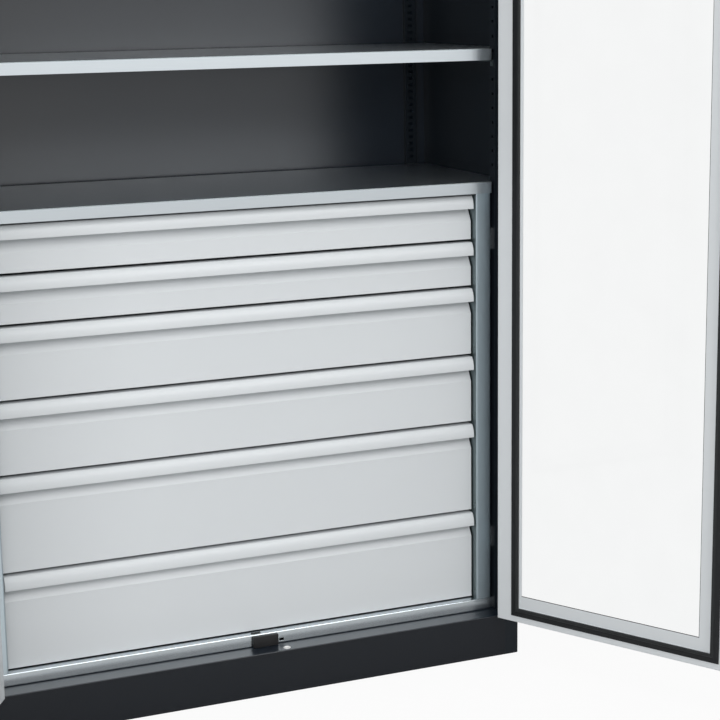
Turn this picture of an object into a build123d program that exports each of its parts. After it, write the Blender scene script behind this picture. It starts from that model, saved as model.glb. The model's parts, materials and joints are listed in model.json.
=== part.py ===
from build123d import *
import math
import os

# Heavy-duty cabinet: carcass, shelves, drawer housing with six telescopic drawers,
# two inset doors with clear panes and a rod lock.
# Millimetres, X to the right, Y to the back, Z up. The origin lies on the floor,
# in the middle of the base. The doors stand open, the drawers are shut.

# Overall sizes
width = 1200.0
depth = 500.0
height = 1950.0
sheet = 1.5
thin_sheet = 1.2
bend_radius = 2.0
fit = 0.3
overrun = 1.0

# Side columns and base
column_face = 33.0
column_return = 36.0
column_radius = 6.0
side_rear_flange = 20.0
sill_height = 93.0
base_flange = 25.0
bearer_width = 40.0
bearer_sheet = 2.0
bearer_spacing = 380.0
back_recess = 18.5
header_height = 37.0
header_ledge = 36.0
header_fold = 10.0

# Slotted uprights
slot_pitch = 15.0
slot_width = 10.0
slot_height = 6.0
front_slot_step = 2
rear_upright_face = 27.0
rear_upright_depth = 12.0
rear_upright_inset = 25.0
front_upright_depth = 24.0
front_upright_setback = 40.0
front_upright_face = 37.5

# Shelves and their hooks
shelf_setback = 38.0
shelf_edge = 25.0
shelf_lip = 12.0
shelf_side_gap = 2.0
shelf_end_gap = 9.0
shelf_back_gap = 3.0
lower_shelf_top = 1326.0
upper_shelf_drop = 294.0
hook_sheet = 3.0
hook_width = 8.0
hook_height = 4.5
hook_plate = 18.0

# Drawer housing
housing_setback = 45.0
rail_height = 27.0
rail_depth = 20.0
rail_hole_width = 10.0
rail_hole_height = 6.0
rail_hole_rise = 5.0
rail_hole_gap = 5.0
post_face = 35.0
post_gap = 7.0
post_return = 18.0
post_radius = 3.0
flank_rear_flange = 40.0
stack_bottom = 121.0
cover_gap = 1.0
cover_setback = 38.0
flank_slot_width = 3.0
flank_slot_height = 7.0
flank_slot_setback = 9.0
flank_slot_rise = 13.5
bracket_height = 45.0
bracket_sheet = 2.0
bracket_leg = 22.0
low_bracket_z = 235.5
high_bracket_z = 900.0

# Drawers, from the bottom to the top
drawer_modules = [200.0, 200.0, 150.0, 150.0, 100.0, 100.0]
front_top_gap = 4.4
front_bottom_gap = 1.6
front_side_gap = 3.0
front_sheet = 1.2
front_return = 12.0
grip_height = 27.7
grip_setback = 5.5
grip_overhang = 14.0
grip_top_radius = 12.0
grip_wall = 2.0
grip_lip = 4.0
recess_depth = 16.0
recess_height = 27.0
tray_depth = 380.0
tray_floor_gap = 8.0
tray_top_gap = 16.0
tray_hem = 5.0

# Telescopic slides
slide_thickness = 15.0
slide_web = 1.5
slide_half_height = 20.0
slide_flange = 5.8
slide_gap = 0.5
middle_web = 2.0
cabinet_rail_length = 380.0
middle_rail_length = 380.0
slide_centre = 36.0
slide_front_gap = 1.0

# Doors
door_thickness = 30.0
door_gap = 2.5
door_end_gap = 2.0
door_centre_gap = 3.0
door_open_angle = 120.0
door_edge_radius = 1.5
window_border = 58.0
window_rebate = 18.0
sight_gap = 4.0
lock_stile = 82.0
window_fold_lip = 12.0
pane_thickness = 4.0
pane_bed = 4.5
pane_play = 1.0
seal_width = 16.0
seal_base = 2.5
seal_ridge = 2.5
seal_ridge_width = 7.0
seal_chamfer = 1.5
seal_side_inset = 38.0
seal_end_inset = 16.0

# Hinges
barrel_radius = 5.0
barrel_length = 28.0
hinge_pin_radius = 3.0
hinge_pin_length = 22.0
pin_end_gap = 2.0
pin_root = 1.0
pin_clearance = 0.05
barrel_clearance = 0.4
leaf_sheet = 2.0
leaf_depth = 24.0
hinge_heights = [258.0, 1004.0, 1750.0]

# Rod lock of the right door
rod_radius = 5.0
rod_tip_radius = 3.5
rod_tip_length = 6.0
rod_inset = 58.5
rod_depth = 14.0
rod_clearance = 0.4
rod_travel = 18.0
rod_recess = 2.0
lock_height = 1004.0
lock_case_width = 66.0
lock_case_height = 120.0
lock_case_depth = 18.0
handle_inset = 44.5
rosette_radius = 26.0
rosette_thickness = 4.0
knob_length = 92.0
knob_width = 24.0
knob_height = 20.0
knob_end_radius = 11.0
knob_chamfer = 4.0
knob_neck_radius = 12.0
knob_neck = 11.0
spindle_radius = 6.0
spindle_length = 12.0
guide_width = 18.0
guide_height = 16.0
guide_wall = 2.0
guide_end_gap = 32.0
bush_radius = 7.6
bush_rim = 0.8
bush_depth = 24.0
bush_floor = 2.0
bush_mouth_radius = 6.4

# Door catch block on the rail
catch_width = 55.0
catch_height = 24.0
catch_gap = 0.4
catch_centre = 21.6
catch_tongue_width = 20.0
catch_tongue = 1.6
catch_radius = 2.0

# Places worked out from the sizes above
half_w = width / 2
front_y = -depth / 2
back_y = depth / 2
wall_x = half_w - sheet
column_x = half_w - column_face
back_inner_y = back_y - back_recess - sheet
sill_y = front_y + housing_setback
door_edge_x = column_x - door_gap
pivot_x = column_x - door_gap / 2
door_bottom = sill_height + door_end_gap
door_top = height - header_height - door_end_gap
door_inner_y = front_y + door_thickness
door_free_x = door_centre_gap / 2
grip_front_y = sill_y + grip_setback
panel_y = grip_front_y + grip_overhang
apex_y = panel_y + recess_depth
rod_x = door_free_x + rod_inset
rod_y = front_y + rod_depth
handle_x = door_free_x + handle_inset
stack_top = stack_bottom + sum(drawer_modules)
cover_bottom = stack_top + cover_gap
cover_top = cover_bottom + shelf_edge
rail_top = sill_height + rail_height
upright_face_x = half_w - sheet - front_upright_face
housing_inner = upright_face_x - post_gap - post_face
front_half = housing_inner - front_side_gap
tray_half = housing_inner - slide_thickness
upper_shelf_top = height - upper_shelf_drop


def save(name, *solids):
    shape = solids[0] if len(solids) == 1 else Compound(children=list(solids))
    shape.label = name
    export_step(shape, f"parts/{name}.step")


def block(x0, x1, y0, y1, z0, z1):
    """A box between its low and high coordinates."""
    middle = Pos((x0 + x1) / 2, (y0 + y1) / 2, (z0 + z1) / 2)
    return middle * Box(abs(x1 - x0), abs(y1 - y0), abs(z1 - z0))


def rod(x, y, z0, z1, radius):
    """A round bar along Z."""
    return Pos(x, y, (z0 + z1) / 2) * Cylinder(radius, z1 - z0)


def strip(points, thickness, rounds=()):
    """The face of a bent sheet: an open line, thickened to its left with mitred bends.

    Each entry of rounds is a point's number and the outer radius of the bend there."""
    offsets = []
    for i, (x, y) in enumerate(points):
        normals = []
        for a, b in ((i - 1, i), (i, i + 1)):
            if a >= 0 and b < len(points):
                dx, dy = points[b][0] - points[a][0], points[b][1] - points[a][1]
                run = math.hypot(dx, dy)
                normals.append((-dy / run, dx / run))
        nx = sum(n[0] for n in normals)
        ny = sum(n[1] for n in normals)
        scale = thickness * len(normals) / (nx * nx + ny * ny)
        offsets.append((x + nx * scale, y + ny * scale))
    face = make_face(Polyline(*points, *reversed(offsets), close=True))
    for number, radius in rounds:
        face = rounded(face, points[number], radius)
        face = rounded(face, offsets[number], radius - abs(thickness))
    return face


def rounded(face, corner, radius):
    """The face with the corner at that point rounded."""
    nearest = min(face.vertices(), key=lambda v: math.hypot(v.X - corner[0], v.Y - corner[1]))
    return fillet(nearest, radius)


def plan_strip(points, thickness, z0, z1, rounds=()):
    """A bent sheet drawn in plan and raised from z0 to z1."""
    return extrude(Pos(0, 0, z0) * strip(points, thickness, rounds), amount=z1 - z0)


def side_strip(points, thickness, x0, x1, rounds=()):
    """A bent sheet drawn in side view, as (y, z), and drawn out from x0 to x1."""
    face = Plane.YZ.offset(x0) * strip(points, thickness, rounds)
    return extrude(face, amount=x1 - x0)


def mirrored(shape):
    return mirror(shape, about=Plane.YZ)


def edges_at(shape, axis, x=None, y=None, z=None):
    """Edges along an axis whose middle has the given coordinates."""
    found = []
    for edge in shape.edges().filter_by(axis):
        middle = edge.center()
        places = ((x, middle.X), (y, middle.Y), (z, middle.Z))
        if all(want is None or abs(want - at) < 0.01 for want, at in places):
            found.append(edge)
    return found


def side_panel():
    """Right side: jamb, column face, wall and rear flange bent from one sheet."""
    line = [
        (column_x, front_y + column_return),
        (column_x, front_y),
        (half_w, front_y),
        (half_w, back_y),
        (half_w - side_rear_flange, back_y),
    ]
    panel = plan_strip(line, sheet, 0, height - sheet, [(2, column_radius)])
    return cut_hinge_notches(panel)


def cut_hinge_notches(shape):
    for z in hinge_heights:
        low = z - barrel_length - barrel_clearance
        high = z + barrel_length + barrel_clearance
        shape -= rod(pivot_x, front_y, low, high, barrel_radius + barrel_clearance)
    return shape


def base_tray():
    """Sill and floor plate with a front and a rear skirt that stand on the floor."""
    inside_x = column_x
    plate = block(-wall_x, wall_x, front_y + column_return, back_inner_y, sill_height - sheet, sill_height)
    front = side_strip(
        [
            (front_y + base_flange, 0),
            (front_y, 0),
            (front_y, sill_height),
            (front_y + column_return, sill_height),
        ],
        -sheet,
        -inside_x,
        inside_x,
        [(2, bend_radius)],
    )
    rear = side_strip(
        [
            (back_inner_y - base_flange, 0),
            (back_inner_y, 0),
            (back_inner_y, sill_height),
            (back_inner_y - base_flange, sill_height),
        ],
        sheet,
        -wall_x,
        wall_x,
    )
    tray = plate + front + rear
    return tray - rod(rod_x, rod_y, 0, height / 2, bush_radius)


def base_bearers():
    """Channels under the floor plate, from the front skirt to the rear skirt."""
    solids = []
    half = bearer_width / 2
    top = sill_height - sheet
    for x in (-bearer_spacing, 0, bearer_spacing):
        line = [(x - half, 0), (x + half, 0), (x + half, top), (x - half, top)]
        face = Plane.XZ.offset(-(front_y + base_flange)) * strip(line, bearer_sheet)
        length = back_inner_y - front_y - 2 * base_flange
        solids.append(extrude(face, amount=-length))
    return solids


def back_panel():
    """Back wall with flanges on all four sides that point backwards."""
    low, high = 0, height - sheet
    shell = block(-wall_x, wall_x, back_inner_y, back_y - sheet, low, high)
    hollow = block(
        -wall_x + sheet, wall_x - sheet, back_inner_y + sheet, back_y, low + sheet, high - sheet
    )
    return shell - hollow


def roof_panel():
    """Roof plate with a front header that carries the upper rod bush."""
    plate = block(-half_w, half_w, front_y, back_y, height - sheet, height)
    plate = fillet(edges_at(plate, Axis.Z, y=front_y), column_radius)
    low = height - header_height
    header = side_strip(
        [
            (front_y + header_ledge, low + header_fold),
            (front_y + header_ledge, low),
            (front_y, low),
            (front_y, height - sheet),
        ],
        -sheet,
        -column_x,
        column_x,
        [(2, bend_radius)],
    )
    roof = plate + header
    return roof - rod(rod_x, rod_y, height / 2, height - sheet, bush_radius)


def slot_heights():
    """Lower edges of the slots, from above the cover to below the header."""
    count = int((height - header_height - cover_top - 2 * slot_pitch) / slot_pitch)
    return [cover_top + slot_pitch * (n + 1) for n in range(count)]


def front_slot_heights():
    """The front uprights have every second slot, and the shelves hang from these."""
    return slot_heights()[1::front_slot_step]


def front_upright():
    """Right front upright: a channel with its slotted web turned to the inside."""
    y0 = front_y + front_upright_setback
    y1 = y0 + front_upright_depth
    line = [(wall_x, y1), (upright_face_x, y1), (upright_face_x, y0), (wall_x, y0)]
    channel = plan_strip(line, sheet, sill_height, height - header_height)
    y = (y0 + y1) / 2
    x = upright_face_x + sheet / 2
    slots = [
        block(x - sheet, x + sheet, y - slot_width / 2, y + slot_width / 2, z, z + slot_height)
        for z in front_slot_heights()
    ]
    return channel - slots


def rear_upright_x():
    return wall_x - rear_upright_inset - rear_upright_face / 2


def rear_upright():
    """Right rear upright: a channel on the back wall with its slotted face forward."""
    x = rear_upright_x()
    half = rear_upright_face / 2
    y = back_inner_y - rear_upright_depth
    line = [(x - half, back_inner_y), (x - half, y), (x + half, y), (x + half, back_inner_y)]
    channel = plan_strip(line, sheet, sill_height, height - header_height)
    slots = [
        block(x - slot_width / 2, x + slot_width / 2, y - sheet, y + 2 * sheet, z, z + slot_height)
        for z in slot_heights()
    ]
    return channel - slots


def shelf(top, setback):
    """Shelf with four turned-down edges and front corners cut clear of the uprights."""
    half = wall_x - shelf_side_gap
    y0 = front_y + setback
    y1 = back_inner_y - rear_upright_depth - shelf_back_gap
    notch_x = upright_face_x - shelf_end_gap
    notch_y = front_y + front_upright_setback + front_upright_depth + shelf_back_gap
    bottom = top - shelf_edge
    outer = block(-half, half, y0, y1, bottom, top)
    inner = block(-half + sheet, half - sheet, y0 + sheet, y1 - sheet, bottom, top - sheet)
    for side in (-1, 1):
        outer -= block(side * notch_x, side * width, y0 - sheet, notch_y, bottom, top)
        inner -= block(side * (notch_x - sheet), side * width, y0, notch_y + sheet, bottom, top)
    outer = fillet(edges_at(outer, Axis.X, y=y0, z=top), bend_radius)
    lip = block(-notch_x + sheet, notch_x - sheet, y0 + sheet, y0 + shelf_lip, bottom, bottom + sheet)
    return outer - inner + lip


def shelf_hooks(top):
    """Four hooks that hang in the slots and carry one shelf under its edges."""
    bottom = top - shelf_edge
    slot = max(z for z in front_slot_heights() if z <= bottom - hook_height)
    tongue = slot + (slot_height - hook_height) / 2
    y_rear = back_inner_y - rear_upright_depth
    y_front = front_y + front_upright_setback + front_upright_depth / 2
    x = rear_upright_x()
    half = hook_width / 2
    hooks = []
    plate = block(x - half, x + half, y_rear - hook_sheet, y_rear, tongue, bottom)
    foot = block(x - half, x + half, y_rear - hook_plate, y_rear, bottom - hook_sheet, bottom)
    peg = block(x - half, x + half, y_rear, y_rear + hook_sheet, tongue, tongue + hook_height)
    rear = plate + foot + peg
    x = upright_face_x
    notch_y = front_y + front_upright_setback + front_upright_depth + shelf_back_gap
    plate = block(x - hook_sheet, x, y_front - half, y_front + half, tongue, bottom)
    foot = block(x - hook_plate, x, y_front - half, notch_y + hook_plate, bottom - hook_sheet, bottom)
    peg = block(x, x + hook_sheet, y_front - half, y_front + half, tongue, tongue + hook_height)
    front = plate + foot + peg
    for hook in (rear, front):
        hooks += [hook, mirrored(hook)]
    return hooks


def housing_side():
    """Right side of the drawer housing: rear flange, flank, post face and return."""
    x = housing_inner
    y_back = back_inner_y - rear_upright_depth
    line = [
        (x + flank_rear_flange, y_back),
        (x, y_back),
        (x, sill_y),
        (x + post_face, sill_y),
        (x + post_face, sill_y + post_return),
    ]
    bends = [(2, post_radius), (3, post_radius)]
    side = plan_strip(line, sheet, rail_top, cover_bottom, bends)
    y = sill_y + flank_slot_setback
    for z in drawer_bottoms():
        low = z + flank_slot_rise
        side -= block(
            x - sheet, x + 2 * sheet, y, y + flank_slot_width, low, low + flank_slot_height
        )
    return side


def housing_rail():
    """Bottom front rail between the columns, with a ledge under the posts."""
    half = upright_face_x - fit
    line = [
        (sill_y + rail_depth, sill_height),
        (sill_y, sill_height),
        (sill_y, rail_top),
        (sill_y + rail_depth, rail_top),
    ]
    rail = side_strip(line, -sheet, -half, half, [(2, bend_radius)])
    # hole beside the catch block
    x = catch_centre + catch_width / 2 + rail_hole_gap
    z = sill_height + rail_hole_rise
    hole = block(x, x + rail_hole_width, sill_y - sheet, sill_y + 2 * sheet, z, z + rail_hole_height)
    return rail - hole


def housing_brackets():
    """Angles that bolt the posts to the front uprights."""
    solids = []
    x0 = housing_inner + post_face
    y0 = sill_y + post_return / 2
    x1 = upright_face_x
    for z in (low_bracket_z, high_bracket_z):
        line = [(x0, y0), (x1, y0), (x1, y0 + bracket_leg)]
        angle = plan_strip(line, bracket_sheet, z, z + bracket_height)
        solids += [angle, mirrored(angle)]
    return solids


def drawer_bottoms():
    levels = [stack_bottom]
    for module in drawer_modules[:-1]:
        levels.append(levels[-1] + module)
    return levels


def drawer_front(low, module):
    """Front panel with a sloped finger recess and returned edges, bent from one sheet."""
    z0 = low + front_bottom_gap
    z1 = low + module - front_top_gap - grip_wall
    grip_low = low + module - front_top_gap - grip_height
    line = [
        (panel_y + front_return, z0),
        (panel_y, z0),
        (panel_y, grip_low - recess_height),
        (apex_y, grip_low),
        (apex_y, z1),
        (apex_y + front_return, z1),
    ]
    front = side_strip(line, -front_sheet, -front_half, front_half)
    # side returns close the panel part at both ends
    outline = Polyline(
        (panel_y, z0),
        (panel_y, grip_low - recess_height),
        (apex_y, grip_low),
        (panel_y + front_return, grip_low - recess_height),
        (panel_y + front_return, z0),
        close=True,
    )
    cheek = make_face(outline)
    right = extrude(Plane.YZ.offset(front_half - front_sheet) * cheek, amount=front_sheet)
    return front + right + mirrored(right)


def grip_profile(low, module):
    """Bull-nose grip along the top edge, hollow and open to the fingers below."""
    top = low + module - front_top_gap
    bottom = top - grip_height
    nose = grip_front_y
    back = apex_y
    r = grip_top_radius
    outer = [
        Line((back, top - grip_wall), (back, top)),
        Line((back, top), (nose + r, top)),
        RadiusArc((nose + r, top), (nose, top - r), -r),
        Line((nose, top - r), (nose, bottom)),
        Line((nose, bottom), (nose + grip_lip, bottom)),
        Line((nose + grip_lip, bottom), (nose + grip_lip, bottom + grip_wall)),
        Line((nose + grip_lip, bottom + grip_wall), (nose + grip_wall, bottom + grip_wall)),
        Line((nose + grip_wall, bottom + grip_wall), (nose + grip_wall, top - r)),
        RadiusArc((nose + grip_wall, top - r), (nose + r, top - grip_wall), r - grip_wall),
        Line((nose + r, top - grip_wall), (back, top - grip_wall)),
    ]
    face = make_face(Curve() + outer)
    return extrude(Plane.YZ.offset(-front_half) * face, amount=2 * front_half)


def drawer_tray(low, module):
    """Open tray with hemmed sides, and the two drawer rails fixed to its flanks."""
    z0 = low + tray_floor_gap
    z1 = low + module - tray_top_gap
    y0 = apex_y + front_sheet
    y1 = y0 + tray_depth
    outer = block(-tray_half, tray_half, y0, y1, z0, z1)
    inner = block(
        -tray_half + thin_sheet, tray_half - thin_sheet, y0 + thin_sheet, y1 - thin_sheet,
        z0 + thin_sheet, z1,
    )
    tray = outer - inner
    for side in (-1, 1):
        edge = side * tray_half
        tray += block(edge, edge - side * tray_hem, y0, y1, z1 - thin_sheet, z1)
    tray += block(-tray_half, tray_half, y1 - tray_hem, y1, z1 - thin_sheet, z1)
    return tray


def slide_rail(inner_x, direction, centre, y0, y1):
    """C-shaped rail member, its web at inner_x and its flanges turned along direction."""
    h = slide_half_height
    tip = inner_x + direction * slide_flange
    line = [
        (tip, centre - h),
        (inner_x, centre - h),
        (inner_x, centre + h),
        (tip, centre + h),
    ]
    face = Plane.XZ.offset(-y0) * strip(line, -slide_web if direction > 0 else slide_web)
    return extrude(face, amount=y0 - y1)


def cabinet_rail(low):
    y0 = apex_y + front_sheet + slide_front_gap
    return slide_rail(housing_inner, -1, low + slide_centre, y0, y0 + cabinet_rail_length)


def drawer_rail(low):
    y0 = apex_y + front_sheet
    return slide_rail(tray_half, 1, low + slide_centre, y0, y0 + tray_depth)


def middle_rail(low):
    """I-shaped member that runs between the cabinet rail and the drawer rail."""
    x0 = tray_half + slide_web + slide_gap
    x1 = housing_inner - slide_web - slide_gap
    centre = low + slide_centre
    half = slide_half_height - slide_web - slide_gap
    y0 = apex_y + front_sheet + slide_front_gap
    y1 = y0 + middle_rail_length
    x = (x0 + x1) / 2
    web = block(x - middle_web / 2, x + middle_web / 2, y0, y1, centre - half, centre + half)
    low_flange = block(x0, x1, y0, y1, centre - half, centre - half + slide_web)
    high_flange = block(x0, x1, y0, y1, centre + half - slide_web, centre + half)
    return web + low_flange + high_flange


def ring(x0, x1, z0, z1, inset_x, inset_z, y0, y1):
    """A rectangular frame lying in the plane of the door."""
    outer = block(x0, x1, y0, y1, z0, z1)
    inner = block(
        x0 + inset_x, x1 - inset_x, y0 - overrun, y1 + overrun, z0 + inset_z, z1 - inset_z
    )
    return outer - inner


def window():
    """The opening of the window, wider framed on the side of the lock."""
    return (
        door_free_x + lock_stile,
        door_edge_x - window_border,
        door_bottom + window_border,
        door_top - window_border,
    )


def rebate():
    """The opening of the outer face: wider than the window, but not on the side of the lock."""
    wx0, wx1, wz0, wz1 = window()
    return wx0, wx1 + window_rebate, wz0 - window_rebate, wz1 + window_rebate


def pane_y():
    """Inner and outer face of the pane."""
    inner = door_inner_y - pane_bed - sheet
    return inner - pane_thickness, inner


def door_shell(with_rods):
    """Outer door pan: face, folded edges, folded window reveal and a bed for the pane."""
    x0, x1, z0, z1 = door_free_x, door_edge_x, door_bottom, door_top
    wx0, wx1, wz0, wz1 = window()
    ox0, ox1, oz0, oz1 = rebate()
    pan = block(x0, x1, front_y, door_inner_y, z0, z1)
    pan = fillet(pan.faces().sort_by(Axis.Y)[0].edges(), door_edge_radius)
    pan -= block(x0 + sheet, x1 - sheet, front_y + sheet, door_inner_y, z0 + sheet, z1 - sheet)
    bed_y = pane_y()[0] - fit
    reveal = block(ox0 - sheet, ox1 + sheet, front_y, bed_y, oz0 - sheet, oz1 + sheet)
    bed = block(wx0 - window_fold_lip, ox1 + sheet, bed_y - sheet, bed_y, oz0 - sheet, oz1 + sheet)
    outside = block(ox0, ox1, front_y - overrun, bed_y - sheet, oz0, oz1)
    sight = block(wx0, wx1 + sight_gap, front_y, door_inner_y, wz0 - sight_gap, wz1 + sight_gap)
    pan = pan + reveal + bed - outside - sight
    pan = cut_hinge_notches(pan)
    if with_rods:
        pan -= rod(rod_x, rod_y, z0 - overrun, z1 + overrun, rod_radius + rod_clearance)
        hole = Pos(handle_x, front_y + sheet, lock_height) * Rot(90, 0, 0)
        pan -= hole * Cylinder(spindle_radius + fit, 4 * sheet)
    return pan


def door_inner_frame():
    """Inner door skin with a step down to the bed of the pane."""
    x0, x1 = door_free_x + sheet, door_edge_x - sheet
    z0, z1 = door_bottom + sheet, door_top - sheet
    wx0, wx1, wz0, wz1 = window()
    step_x = seal_side_inset + seal_width - sheet
    step_z = seal_end_inset + seal_width - sheet
    low_y = door_inner_y - pane_bed - sheet
    flat = ring(x0, x1, z0, z1, step_x, step_z, door_inner_y - sheet, door_inner_y)
    a0, a1 = x0 + step_x - sheet, x1 - step_x + sheet
    b0, b1 = z0 + step_z - sheet, z1 - step_z + sheet
    step = ring(a0, a1, b0, b1, sheet, sheet, low_y, door_inner_y)
    bed = block(a0, a1, low_y, low_y + sheet, b0, b1)
    bed -= block(wx0, wx1, low_y, low_y + sheet, wz0, wz1)
    return flat + step + bed


def door_pane():
    wx0, wx1, wz0, wz1 = window()
    y0, y1 = pane_y()
    grow = window_fold_lip - pane_play
    return block(wx0 - grow, wx1 + grow, y0, y1, wz0 - grow, wz1 + grow)


def door_seal():
    """Perimeter seal: a flat foot with a chamfered ridge along its inner half."""
    x0, x1 = door_free_x + seal_side_inset, door_edge_x - seal_side_inset
    z0, z1 = door_bottom + seal_end_inset, door_top - seal_end_inset
    y = door_inner_y
    foot = ring(x0, x1, z0, z1, seal_width, seal_width, y, y + seal_base)
    inset = seal_width - seal_ridge_width
    ridge = ring(
        x0 + inset, x1 - inset, z0 + inset, z1 - inset, seal_ridge_width, seal_ridge_width,
        y + seal_base, y + seal_base + seal_ridge,
    )
    top_edges = ridge.faces().sort_by(Axis.Y)[-1].edges()
    ridge = chamfer(top_edges, seal_chamfer)
    return foot + ridge


def fixed_knuckle(z):
    """Knuckle on the column, with a blind bore for the pin and a leaf behind the jamb."""
    low, high = z - barrel_length, z
    barrel = rod(pivot_x, front_y, low, high, barrel_radius)
    leaf_x = column_x + sheet
    leaf = block(leaf_x, leaf_x + leaf_sheet, front_y + sheet, front_y + leaf_depth, low, high)
    floor = high - hinge_pin_length - pin_end_gap
    return barrel + leaf - rod(pivot_x, front_y, floor, high, hinge_pin_radius + pin_clearance)


def door_knuckle(z):
    """Knuckle on the door with its pin, and a leaf inside the folded door edge."""
    low, high = z + fit, z + barrel_length
    barrel = rod(pivot_x, front_y, low, high, barrel_radius)
    leaf_x = door_edge_x - sheet
    leaf = block(leaf_x - leaf_sheet, leaf_x, front_y + sheet, front_y + leaf_depth, low, high)
    pin = rod(pivot_x, front_y, z - hinge_pin_length, low + pin_root, hinge_pin_radius)
    return barrel + leaf + pin


def lock_case():
    """Lock case inside the free stile, with a passage for the rods and the spindle."""
    x0 = door_free_x + sheet
    y0 = front_y + sheet
    half = lock_case_height / 2
    case = block(
        x0, x0 + lock_case_width, y0, y0 + lock_case_depth, lock_height - half, lock_height + half
    )
    case -= rod(rod_x, rod_y, 0, height, rod_radius + rod_clearance)
    hole = Pos(handle_x, y0, lock_height) * Rot(90, 0, 0)
    return case - hole * Cylinder(spindle_radius + fit, 2 * (spindle_length + fit))


def turning_handle():
    """Balanced turning grip with a neck and a spindle, its ends and edges rounded."""
    out = front_y - rosette_thickness - fit
    y0 = out - knob_neck
    y1 = y0 - knob_height
    grip = block(
        handle_x - knob_length / 2, handle_x + knob_length / 2, y1, y0,
        lock_height - knob_width / 2, lock_height + knob_width / 2,
    )
    grip = fillet(grip.edges().filter_by(Axis.Y), knob_end_radius)
    grip = chamfer(grip.faces().sort_by(Axis.Y)[0].edges(), knob_chamfer)
    turn = Rot(90, 0, 0)
    neck = Pos(handle_x, (out + y0) / 2, lock_height) * turn * Cylinder(knob_neck_radius, knob_neck)
    end = front_y + sheet + spindle_length
    spindle = Pos(handle_x, (out + end) / 2, lock_height) * turn
    spindle = spindle * Cylinder(spindle_radius, end - out)
    return grip + neck + spindle


def rosette():
    turn = Rot(90, 0, 0)
    middle = Pos(handle_x, front_y - rosette_thickness / 2, lock_height) * turn
    disc = middle * Cylinder(rosette_radius, rosette_thickness)
    return disc - middle * Cylinder(spindle_radius + fit, rosette_thickness * 2)


def lock_rod(upper):
    """Rod that ends in the lock case and has a tapered tip at the door's edge."""
    free = rod_travel + rod_recess
    if upper:
        inner, tip = lock_height + free, door_top - rod_recess
        base = tip - rod_tip_length
        body = rod(rod_x, rod_y, inner, base, rod_radius)
        point = Pos(rod_x, rod_y, (base + tip) / 2)
        return body + point * Cone(rod_radius, rod_tip_radius, rod_tip_length)
    inner, tip = lock_height - free, door_bottom + rod_recess
    base = tip + rod_tip_length
    body = rod(rod_x, rod_y, base, inner, rod_radius)
    point = Pos(rod_x, rod_y, (base + tip) / 2)
    return body + point * Cone(rod_tip_radius, rod_radius, rod_tip_length)


def rod_guides():
    """Guide blocks on the inside of the door's outer skin."""
    solids = []
    x0, x1 = rod_x - guide_width / 2, rod_x + guide_width / 2
    y0, y1 = front_y + sheet, rod_y + rod_radius + rod_clearance + guide_wall
    low_end = door_bottom + guide_end_gap
    high_end = door_top - guide_end_gap - guide_height
    middle_low = (low_end + lock_height) / 2
    middle_high = (high_end + lock_height) / 2
    for z in (low_end, middle_low, middle_high, high_end):
        guide = block(x0, x1, y0, y1, z, z + guide_height)
        solids.append(guide - rod(rod_x, rod_y, z, z + guide_height, rod_radius + rod_clearance))
    return solids


def lock_bushes():
    """Cups in the sill and in the header that take the ends of the rods."""
    cups = []
    for face, way in ((sill_height, 1), (height - header_height, -1)):
        ends = sorted((face + way * bush_rim, face - way * bush_depth))
        cup = rod(rod_x, rod_y, ends[0], ends[1], bush_radius)
        mouth = sorted((face + way * bush_rim, face - way * (bush_depth - bush_floor)))
        cups.append(cup - rod(rod_x, rod_y, mouth[0], mouth[1], bush_mouth_radius))
    return cups


def door_catch():
    """Catch block on the sill in front of the rail, with a tongue over the rail's top."""
    x0, x1 = catch_centre - catch_width / 2, catch_centre + catch_width / 2
    y0 = door_inner_y + seal_base + seal_ridge + catch_gap
    body = block(x0, x1, y0, sill_y, sill_height, sill_height + catch_height)
    body = fillet(edges_at(body, Axis.X, y=y0, z=sill_height + catch_height), catch_radius)
    x2, y2, z2 = x0 + catch_tongue_width, sill_y - catch_tongue, rail_top + catch_tongue
    riser = block(x0, x2, y2, sill_y, sill_height, z2)
    tongue = block(x0, x2, y2, sill_y + rail_depth / 2, rail_top, z2)
    return body + riser + tongue


def open_door(shape, side):
    """Turns a piece of the right door open, and mirrors it for the left door."""
    turned = shape.rotate(Axis((pivot_x, front_y, 0), (0, 0, 1)), door_open_angle)
    return turned if side == "right" else mirrored(turned)


os.makedirs("parts", exist_ok=True)

right_side = side_panel()
save("side_panel_right", right_side)
save("side_panel_left", mirrored(right_side))
save("base_tray", base_tray())
save("base_bearers", *base_bearers())
save("back_panel", back_panel())
save("roof_panel", roof_panel())
for name, upright in (("front_uprights", front_upright()), ("rear_uprights", rear_upright())):
    save(name, upright, mirrored(upright))
save("shelf_lower", shelf(lower_shelf_top, shelf_setback))
save("shelf_upper", shelf(upper_shelf_top, shelf_setback))
save("shelf_hooks", *shelf_hooks(lower_shelf_top), *shelf_hooks(upper_shelf_top))
save("cover_shelf", shelf(cover_top, cover_setback))

right_housing = housing_side()
save("housing_side_right", right_housing)
save("housing_side_left", mirrored(right_housing))
save("housing_rail", housing_rail())
save("housing_brackets", *housing_brackets())
rails = []
for low in drawer_bottoms():
    rails += [cabinet_rail(low), mirrored(cabinet_rail(low))]
save("cabinet_rails", *rails)
save("door_catch_block", door_catch())
save("lock_bushes", *lock_bushes())
knuckles = [fixed_knuckle(z) for z in hinge_heights]
save("frame_knuckles", *knuckles, *[mirrored(k) for k in knuckles])

for number, (low, module) in enumerate(zip(drawer_bottoms(), drawer_modules), 1):
    save(f"drawer_{number}_front", drawer_front(low, module))
    save(f"drawer_{number}_grip", grip_profile(low, module))
    runner = drawer_rail(low)
    save(f"drawer_{number}_tray", drawer_tray(low, module), runner, mirrored(runner))
    middle = middle_rail(low)
    save(f"middle_rails_{number}", middle, mirrored(middle))

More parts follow.
